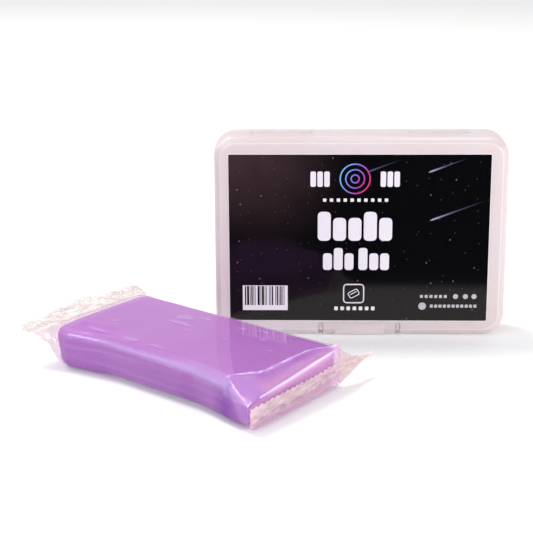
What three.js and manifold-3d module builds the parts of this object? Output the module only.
// A film-wrapped bar of detailing clay with its hinged, frosted storage case.
// Millimetres, +Z up. X runs along the case's width, Y from its lid to its base.
// The origin is the middle of the face that the closed case stands on.

import * as THREE from 'three';
import { mergeVertices } from 'three/addons/utils/BufferGeometryUtils.js';
import Module from 'manifold-3d';

const wasm = await Module();
wasm.setup();

// ---- clay bar ----
const barLength = 82;
const barWidth = 45;
const barThickness = 12.6;
const barEdgeRadius = 3;
const barCornerRadius = 8.5;
const barWaist = 4.2;           // how far the front side is pressed in at its middle
const waistSpread = 0.417;      // where that dent levels out, as a share of the half length
const pinchedCorner = 2;        // extra radius of the corner beside the left seal
const endSkew = 0.12;           // sideways slope of the two cut ends

// ---- film wrapper ----
const filmThickness = 0.2;
const filmGap = 0.2;            // air between the clay and the film
const capReach = 9;             // how much of each end of the clay the sealed ends cover
const pieceGap = 0.3;           // between pieces that touch on the real object
const finThickness = 0.6;
const finOverhang = 7;          // the flat seal is wider than the filled bar by this on each side
const taperLength = 5;          // the film narrows over this length before the left seal
const finLength = 7.5;
const finHeight = 10.6;         // height of the left seal above the film's underside
const finShift = 3.5;           // the left seal sits this far towards the bar's back side
const toothPitch = 2.4;
const toothDepth = 0.9;
const foldedFinHeight = 4.6;    // the right seal, folded up against the end
const foldedFinBottom = 1.4;
const foldedFinTip = 1.2;       // height of its pointed back end
const foldedFinReach = 18.2;    // how far that end stands out past the bar's back side
const seamWidth = 9;
const seamThickness = 0.3;
const seamLift = 0.02;

// ---- case ----
const wall = 1.2;
const lipThickness = 0.8;
const lipGap = 0.3;
const lipReach = 1.5;           // how far the base's lip enters the lid
const lipRoot = 3;
const lengthRoom = 8.4;         // room beside the stored bar for its folded seals
const widthRoom = 16.9;
const depthRoom = 1.4;
const caseCornerRadius = 7;
const caseEdgeRadius = 2.2;
const seamGap = 0.3;            // parting line between lid and base

// ---- hinge webs ----
const webWidth = 19.4;
const webSpacing = 51;          // between the two webs' centres
const webReach = 2.8;           // on each side of the parting line
const webThickness = 0.4;
const webClearance = 0.3;
const webSeat = 0.05;

// ---- latch ----
const slotWidth = 1.6;
const tongueWidth = 23.7;
const tongueTop = 4.4;          // height of the tongue's bending line on the lid's face
const tongueRecess = 0.3;       // the tongue stands back from the lid's outer faces
const tongueTipThickness = 0.7;
const tongueTipReach = 3.4;     // past the parting line, under the base
const ribHeight = 0.28;         // the two catch ribs, one on the tongue and one on the base
const ribWidth = 0.8;
const ribPass = 0.1;            // between the ribs as they pass each other
const catchWall = 0.9;
const tongueSideGap = 0.5;
const padWidth = 16;
const padCorner = 0.8;

// ---- label ----
const labelLeftMargin = 4.8;
const labelRightMargin = 5.9;
const labelBottomMargin = 5.2;
const labelTopMargin = 5.6;
const labelThickness = 0.15;
const labelGap = 0.02;

// ---- how the wrapped bar lies beside the standing case ----
const barAngle = -40.5 * Math.PI / 180;
const barToCase = 11.1;         // from the bar's back side to the case's nearest corner
const barPastCase = 18.2;       // from the bar's left end along it to that corner

// ---- worked out ----
const caseWidth = barLength + lengthRoom + 2 * (wall + lipGap + lipThickness);
const caseHeight = barWidth + widthRoom + 2 * (wall + lipGap + lipThickness);
const halfDepth = (barThickness + depthRoom) / 2 + wall;
const far = 4 * caseWidth;      // larger than anything that is cut

const materials = {
  clay: { color: 0xa763c4, roughness: 0.45, metalness: 0 },
  film: { color: 0xe9e2ec, roughness: 0.12, metalness: 0 },
  frosted: { color: 0xe8dce0, roughness: 0.4, metalness: 0 },
  label: { color: 0x14131a, roughness: 0.2, metalness: 0 }
};

// Turns a three.js geometry into a solid that can be cut and joined.
function solid(geometry) {
  const bare = geometry.clone();
  bare.deleteAttribute('normal');
  bare.deleteAttribute('uv');
  const merged = mergeVertices(bare);
  return new wasm.Manifold(new wasm.Mesh({
    numProp: 3,
    vertProperties: new Float32Array(merged.attributes.position.array),
    triVerts: new Uint32Array(merged.index.array)
  }));
}

// Turns a cut solid back into a three.js geometry.
function geometryOf(body) {
  const mesh = body.getMesh();
  const geometry = new THREE.BufferGeometry();
  geometry.setAttribute('position', new THREE.BufferAttribute(mesh.vertProperties, 3));
  geometry.setIndex(new THREE.BufferAttribute(mesh.triVerts, 1));
  geometry.computeVertexNormals();
  return geometry;
}

function node(name, body, material) {
  const mesh = new THREE.Mesh(geometryOf(body), new THREE.MeshStandardMaterial(materials[material]));
  mesh.name = name;
  return mesh;
}

// A box given by its lowest and highest corners.
function block([x0, y0, z0], [x1, y1, z1]) {
  const geometry = new THREE.BoxGeometry(x1 - x0, y1 - y0, z1 - z0);
  geometry.translate((x0 + x1) / 2, (y0 + y1) / 2, (z0 + z1) / 2);
  return solid(geometry);
}

// A closed outline through corner points, each rounded by its own radius.
function roundedOutline(corners) {
  const shape = new THREE.Shape();
  corners.forEach(({ point, radius }, i) => {
    const before = corners[(i + corners.length - 1) % corners.length].point;
    const after = corners[(i + 1) % corners.length].point;
    const start = before.clone().sub(point).setLength(radius).add(point);
    const end = after.clone().sub(point).setLength(radius).add(point);
    if (i === 0) shape.moveTo(start.x, start.y);
    else shape.lineTo(start.x, start.y);
    shape.quadraticCurveTo(point.x, point.y, end.x, end.y);
  });
  shape.closePath();
  return shape;
}

// A plate of the outline's full size with both of its rims rounded, centred on z = 0.
function pillow(shape, thickness, edge, curveSegments) {
  const geometry = new THREE.ExtrudeGeometry(shape, {
    depth: thickness - 2 * edge,
    bevelEnabled: true,
    bevelThickness: edge,
    bevelSize: edge,
    bevelOffset: -edge,
    bevelSegments: 3,
    curveSegments
  });
  geometry.translate(0, 0, edge - thickness / 2);
  return geometry;
}

function plate(shape, depth, curveSegments = 6) {
  return new THREE.ExtrudeGeometry(shape, { depth, bevelEnabled: false, curveSegments });
}

// A flat outline in the Y-Z plane, extruded along X and centred on x = 0.
function acrossX(points, width) {
  const geometry = plate(new THREE.Shape(points.map(([y, z]) => new THREE.Vector2(y, z))), width);
  geometry.translate(0, 0, -width / 2);
  geometry.rotateX(Math.PI / 2);
  geometry.rotateZ(Math.PI / 2);
  return solid(geometry);
}

// ---- case ----

// The case's front outline, drawn in X and Z and inset all round.
function caseOutline(inset) {
  const x = caseWidth / 2 - inset;
  const y = caseHeight / 2 - inset;
  const r = caseCornerRadius - inset;
  const shape = new THREE.Shape();
  shape.absarc(x - r, y - r, r, 0, Math.PI / 2);
  shape.absarc(r - x, y - r, r, Math.PI / 2, Math.PI);
  shape.absarc(r - x, r - y, r, Math.PI, 3 * Math.PI / 2);
  shape.absarc(x - r, r - y, r, 3 * Math.PI / 2, 2 * Math.PI);
  return shape;
}

function stand(geometry) {
  geometry.rotateX(Math.PI / 2);
  geometry.translate(0, 0, caseHeight / 2);
  return solid(geometry);
}

function caseSlab(inset) {
  return stand(pillow(caseOutline(inset), 2 * (halfDepth - inset), caseEdgeRadius - inset, 6));
}

// A flat-edged frame between two insets, from one depth to another.
function caseRing(outerInset, innerInset, fromY, toY) {
  const ring = (inset) => {
    const geometry = plate(caseOutline(inset), toY - fromY);
    geometry.translate(0, 0, -toY);
    return stand(geometry);
  };
  return ring(outerInset).subtract(ring(innerInset));
}

function shell(side) {
  const hollow = caseSlab(0).subtract(caseSlab(wall));
  const away = block([-far, seamGap / 2, -far], [far, far, far]);
  return hollow.intersect(side === 'base' ? away : away.mirror([0, 1, 0]));
}

function webCentres() {
  return [-webSpacing / 2, webSpacing / 2];
}

// The shallow pockets in the top wall that the two webs lie in.
function cutWebPockets(body) {
  const halfWidth = webWidth / 2 + webClearance;
  const halfReach = webReach + webClearance;
  const floor = caseHeight - webThickness - webSeat;
  return webCentres().reduce((cut, x) => cut.subtract(
    block([x - halfWidth, -halfReach, floor], [x + halfWidth, halfReach, far])
  ), body);
}

function caseLid() {
  const halfWindow = tongueWidth / 2 + slotWidth;
  const tongueWindow = block([-halfWindow, -far, -far], [halfWindow, 0, tongueTop]);
  return cutWebPockets(shell('lid')).subtract(tongueWindow);
}

const tongueInside = wall;
const tipInside = tongueRecess + tongueTipThickness;
const catchCeiling = tipInside + 2 * ribHeight + ribPass;

function caseBase() {
  const lipOutside = wall + lipGap;
  const lipInside = lipOutside + lipThickness;
  const lip = caseRing(lipOutside, lipInside, -lipReach, lipRoot);
  const root = caseRing(wall / 2, lipInside, seamGap / 2, lipRoot);
  const notchHalf = tongueWidth / 2 + tongueSideGap;
  const notchEnd = tongueTipReach + tongueSideGap;
  const housing = block(
    [-notchHalf - catchWall, seamGap / 2, wall / 2],
    [notchHalf + catchWall, notchEnd + catchWall, catchCeiling + catchWall]
  );
  const notch = block([-notchHalf, -far, -far], [notchHalf, notchEnd, catchCeiling]);
  const openTongue = block([-notchHalf, -far, -far], [notchHalf, seamGap / 2, wall + lipGap / 2]);
  const rib = block(
    [-padWidth / 2, ribWidth, catchCeiling - ribHeight],
    [padWidth / 2, 2 * ribWidth, catchCeiling + catchWall / 2]
  );
  const notched = shell('base').add(root).add(housing).subtract(notch);
  return cutWebPockets(notched).add(lip.subtract(openTongue)).add(rib);
}

function hingeWeb(x) {
  const thin = webThickness / 2;
  const top = caseHeight;
  const bottom = caseHeight - webThickness;
  const web = acrossX([
    [-webReach, bottom], [-2 * thin, bottom], [-thin, bottom + thin], [thin, bottom + thin],
    [2 * thin, bottom], [webReach, bottom], [webReach, top], [-webReach, top]
  ], webWidth);
  return web.translate([x, 0, 0]);
}

// Points of a quarter round from pointing forward to pointing down, in Y and Z.
function bend(radius, steps) {
  const centreY = caseEdgeRadius - halfDepth;
  return Array.from({ length: steps + 1 }, (_, i) => {
    const angle = Math.PI + (i / steps) * Math.PI / 2;
    return [centreY + radius * Math.cos(angle), caseEdgeRadius + radius * Math.sin(angle)];
  });
}

function latchTab() {
  const top = tongueTop - pieceGap;
  const outside = bend(caseEdgeRadius - tongueRecess, 5);
  const inside = bend(caseEdgeRadius - tongueInside, 5).reverse();
  const tip = tongueTipReach;
  const tongue = acrossX([
    [tongueRecess - halfDepth, top], ...outside,
    [tip, tongueRecess], [tip, tipInside + ribHeight], [tip - ribWidth, tipInside + ribHeight],
    [tip - ribWidth - ribHeight, tipInside], [-seamGap, tipInside], [-2 * seamGap, tongueInside],
    ...inside, [tongueInside - halfDepth, top]
  ], tongueWidth);
  const deep = (tongueRecess + tongueInside) / 2;
  const padTop = top - 2 * tongueRecess;
  const padTip = tip - 2 * tongueRecess;
  const pad = acrossX([
    [-halfDepth, padTop], [-halfDepth, padCorner], [padCorner - halfDepth, 0], [padTip, 0],
    [padTip, deep], ...bend(caseEdgeRadius - deep, 5).reverse(), [deep - halfDepth, padTop]
  ], padWidth);
  return tongue.add(pad);
}

function lidLabel() {
  const y = -halfDepth - labelGap;
  return block(
    [labelLeftMargin - caseWidth / 2, y - labelThickness, labelBottomMargin],
    [caseWidth / 2 - labelRightMargin, y, caseHeight - labelTopMargin]
  );
}

// ---- wrapped bar, along X, its back side towards +Y and its seam strip on z = 0 ----

const filmReach = filmGap + filmThickness;
const filmBottom = seamThickness + seamLift;
const barMiddle = filmBottom + filmReach + barThickness / 2;
const trim = barLength / 2 - capReach;

// The bar's plan: cut ends at a slight slant, a straight back and a pressed-in front.
function barOutline(grow) {
  const x = barLength / 2 + grow;
  const y = barWidth / 2 + grow;
  const lean = endSkew * y;
  const waist = { x: x * waistSpread, y: barWaist - y, radius: x * waistSpread / 2 };
  const corner = (px, py, radius) => ({ point: new THREE.Vector2(px, py), radius });
  return roundedOutline([
    corner(lean - x, -y, barCornerRadius + pinchedCorner + grow),
    corner(-waist.x, waist.y, waist.radius),
    corner(waist.x, waist.y, waist.radius),
    corner(x + lean, -y, barCornerRadius + grow),
    corner(x - lean, y, barCornerRadius + grow),
    corner(-x - lean, y, barCornerRadius + grow)
  ]);
}

function barSlab(grow) {
  const geometry = pillow(barOutline(grow), barThickness + 2 * grow, barEdgeRadius + grow, 5);
  geometry.translate(0, 0, barMiddle);
  return solid(geometry);
}

function film(fromX, toX) {
  const tube = barSlab(filmReach).subtract(barSlab(filmGap));
  return tube.intersect(block([fromX, -far, -far], [toX, far, far]));
}

// A saw-toothed line from one point to another, its teeth standing out to its left.
function teeth(from, to) {
  const count = Math.round(from.distanceTo(to) / toothPitch);
  const along = to.clone().sub(from);
  const out = new THREE.Vector2(-along.y, along.x).setLength(toothDepth);
  return Array.from({ length: 2 * count + 1 }, (_, i) => {
    const point = from.clone().addScaledVector(along, i / (2 * count));
    return i % 2 ? point.add(out) : point;
  });
}

function endSealLeft() {
  const back = barWidth / 2 + finOverhang + finShift;
  const front = finShift - barWidth / 2 - finOverhang;
  const root = -barLength / 2 - taperLength;
  const tip = root - finLength;
  const lean = (y) => -endSkew * y;
  const mouth = -trim - capReach / 2;
  const point = (x, y) => new THREE.Vector2(x + lean(y), y);
  const plan = new THREE.Shape([
    point(mouth, -barWidth / 2 + barEdgeRadius), point(mouth, barWidth / 2 - barEdgeRadius),
    point(root, back), ...teeth(point(tip, back), point(tip, front)), point(root, front)
  ]);
  const z = filmBottom + finHeight;
  const half = finThickness / 2;
  const taper = acrossX([
    [mouth, filmBottom + barEdgeRadius], [mouth, filmBottom + filmReach + barThickness],
    [root, z + half], [tip - 2 * toothDepth, z + half], [tip - 2 * toothDepth, z - half], [root, z - half]
  ].map(([x, height]) => [-x, height]), 4 * barWidth).rotate([0, 0, 90]);
  const flared = solid(plate(plan, far)).intersect(taper);
  return film(-far, -trim - pieceGap).add(flared.subtract(barSlab(filmGap)));
}

function endSealRight() {
  const from = -barWidth / 2;
  const to = barWidth / 2 + foldedFinReach;
  const bottom = filmBottom + foldedFinBottom;
  const top = bottom + foldedFinHeight;
  const edge = teeth(new THREE.Vector2(from, -top), new THREE.Vector2(to, -top)).reverse();
  const strip = acrossX([
    [from, bottom], [barWidth / 2, bottom], [to, top - foldedFinTip], ...edge.map((p) => [p.x, -p.y])
  ], finThickness)
    .rotate([0, 0, Math.atan(endSkew) * 180 / Math.PI])
    .translate([barLength / 2 + filmReach + finThickness / 3, 0, 0]);
  return film(trim + pieceGap, far).add(strip);
}

function backSeam() {
  return block([-trim, -seamWidth / 2, 0], [trim, seamWidth / 2, seamThickness]);
}

function wrappedBar() {
  const group = new THREE.Group();
  group.add(node('clay_bar', barSlab(0), 'clay'));
  group.add(node('wrapper_sleeve', film(-trim, trim), 'film'));
  group.add(node('end_seal_left', endSealLeft(), 'film'));
  group.add(node('end_seal_right', endSealRight(), 'film'));
  group.add(node('back_seam', backSeam(), 'film'));
  group.rotation.z = barAngle;
  const beside = new THREE.Vector3(barPastCase - barLength / 2, barWidth / 2 + barToCase, 0);
  beside.applyAxisAngle(new THREE.Vector3(0, 0, 1), barAngle);
  group.position.set(-caseWidth / 2 - beside.x, -halfDepth - beside.y, 0);
  return group;
}

const product = new THREE.Group();
product.add(node('case_lid', caseLid(), 'frosted'));
product.add(node('case_base', caseBase(), 'frosted'));
product.add(node('hinge_web_left', hingeWeb(webCentres()[0]), 'frosted'));
product.add(node('hinge_web_right', hingeWeb(webCentres()[1]), 'frosted'));
product.add(node('latch_tab', latchTab(), 'frosted'));
product.add(node('lid_label', lidLabel(), 'label'));
product.add(wrappedBar());

export default product;
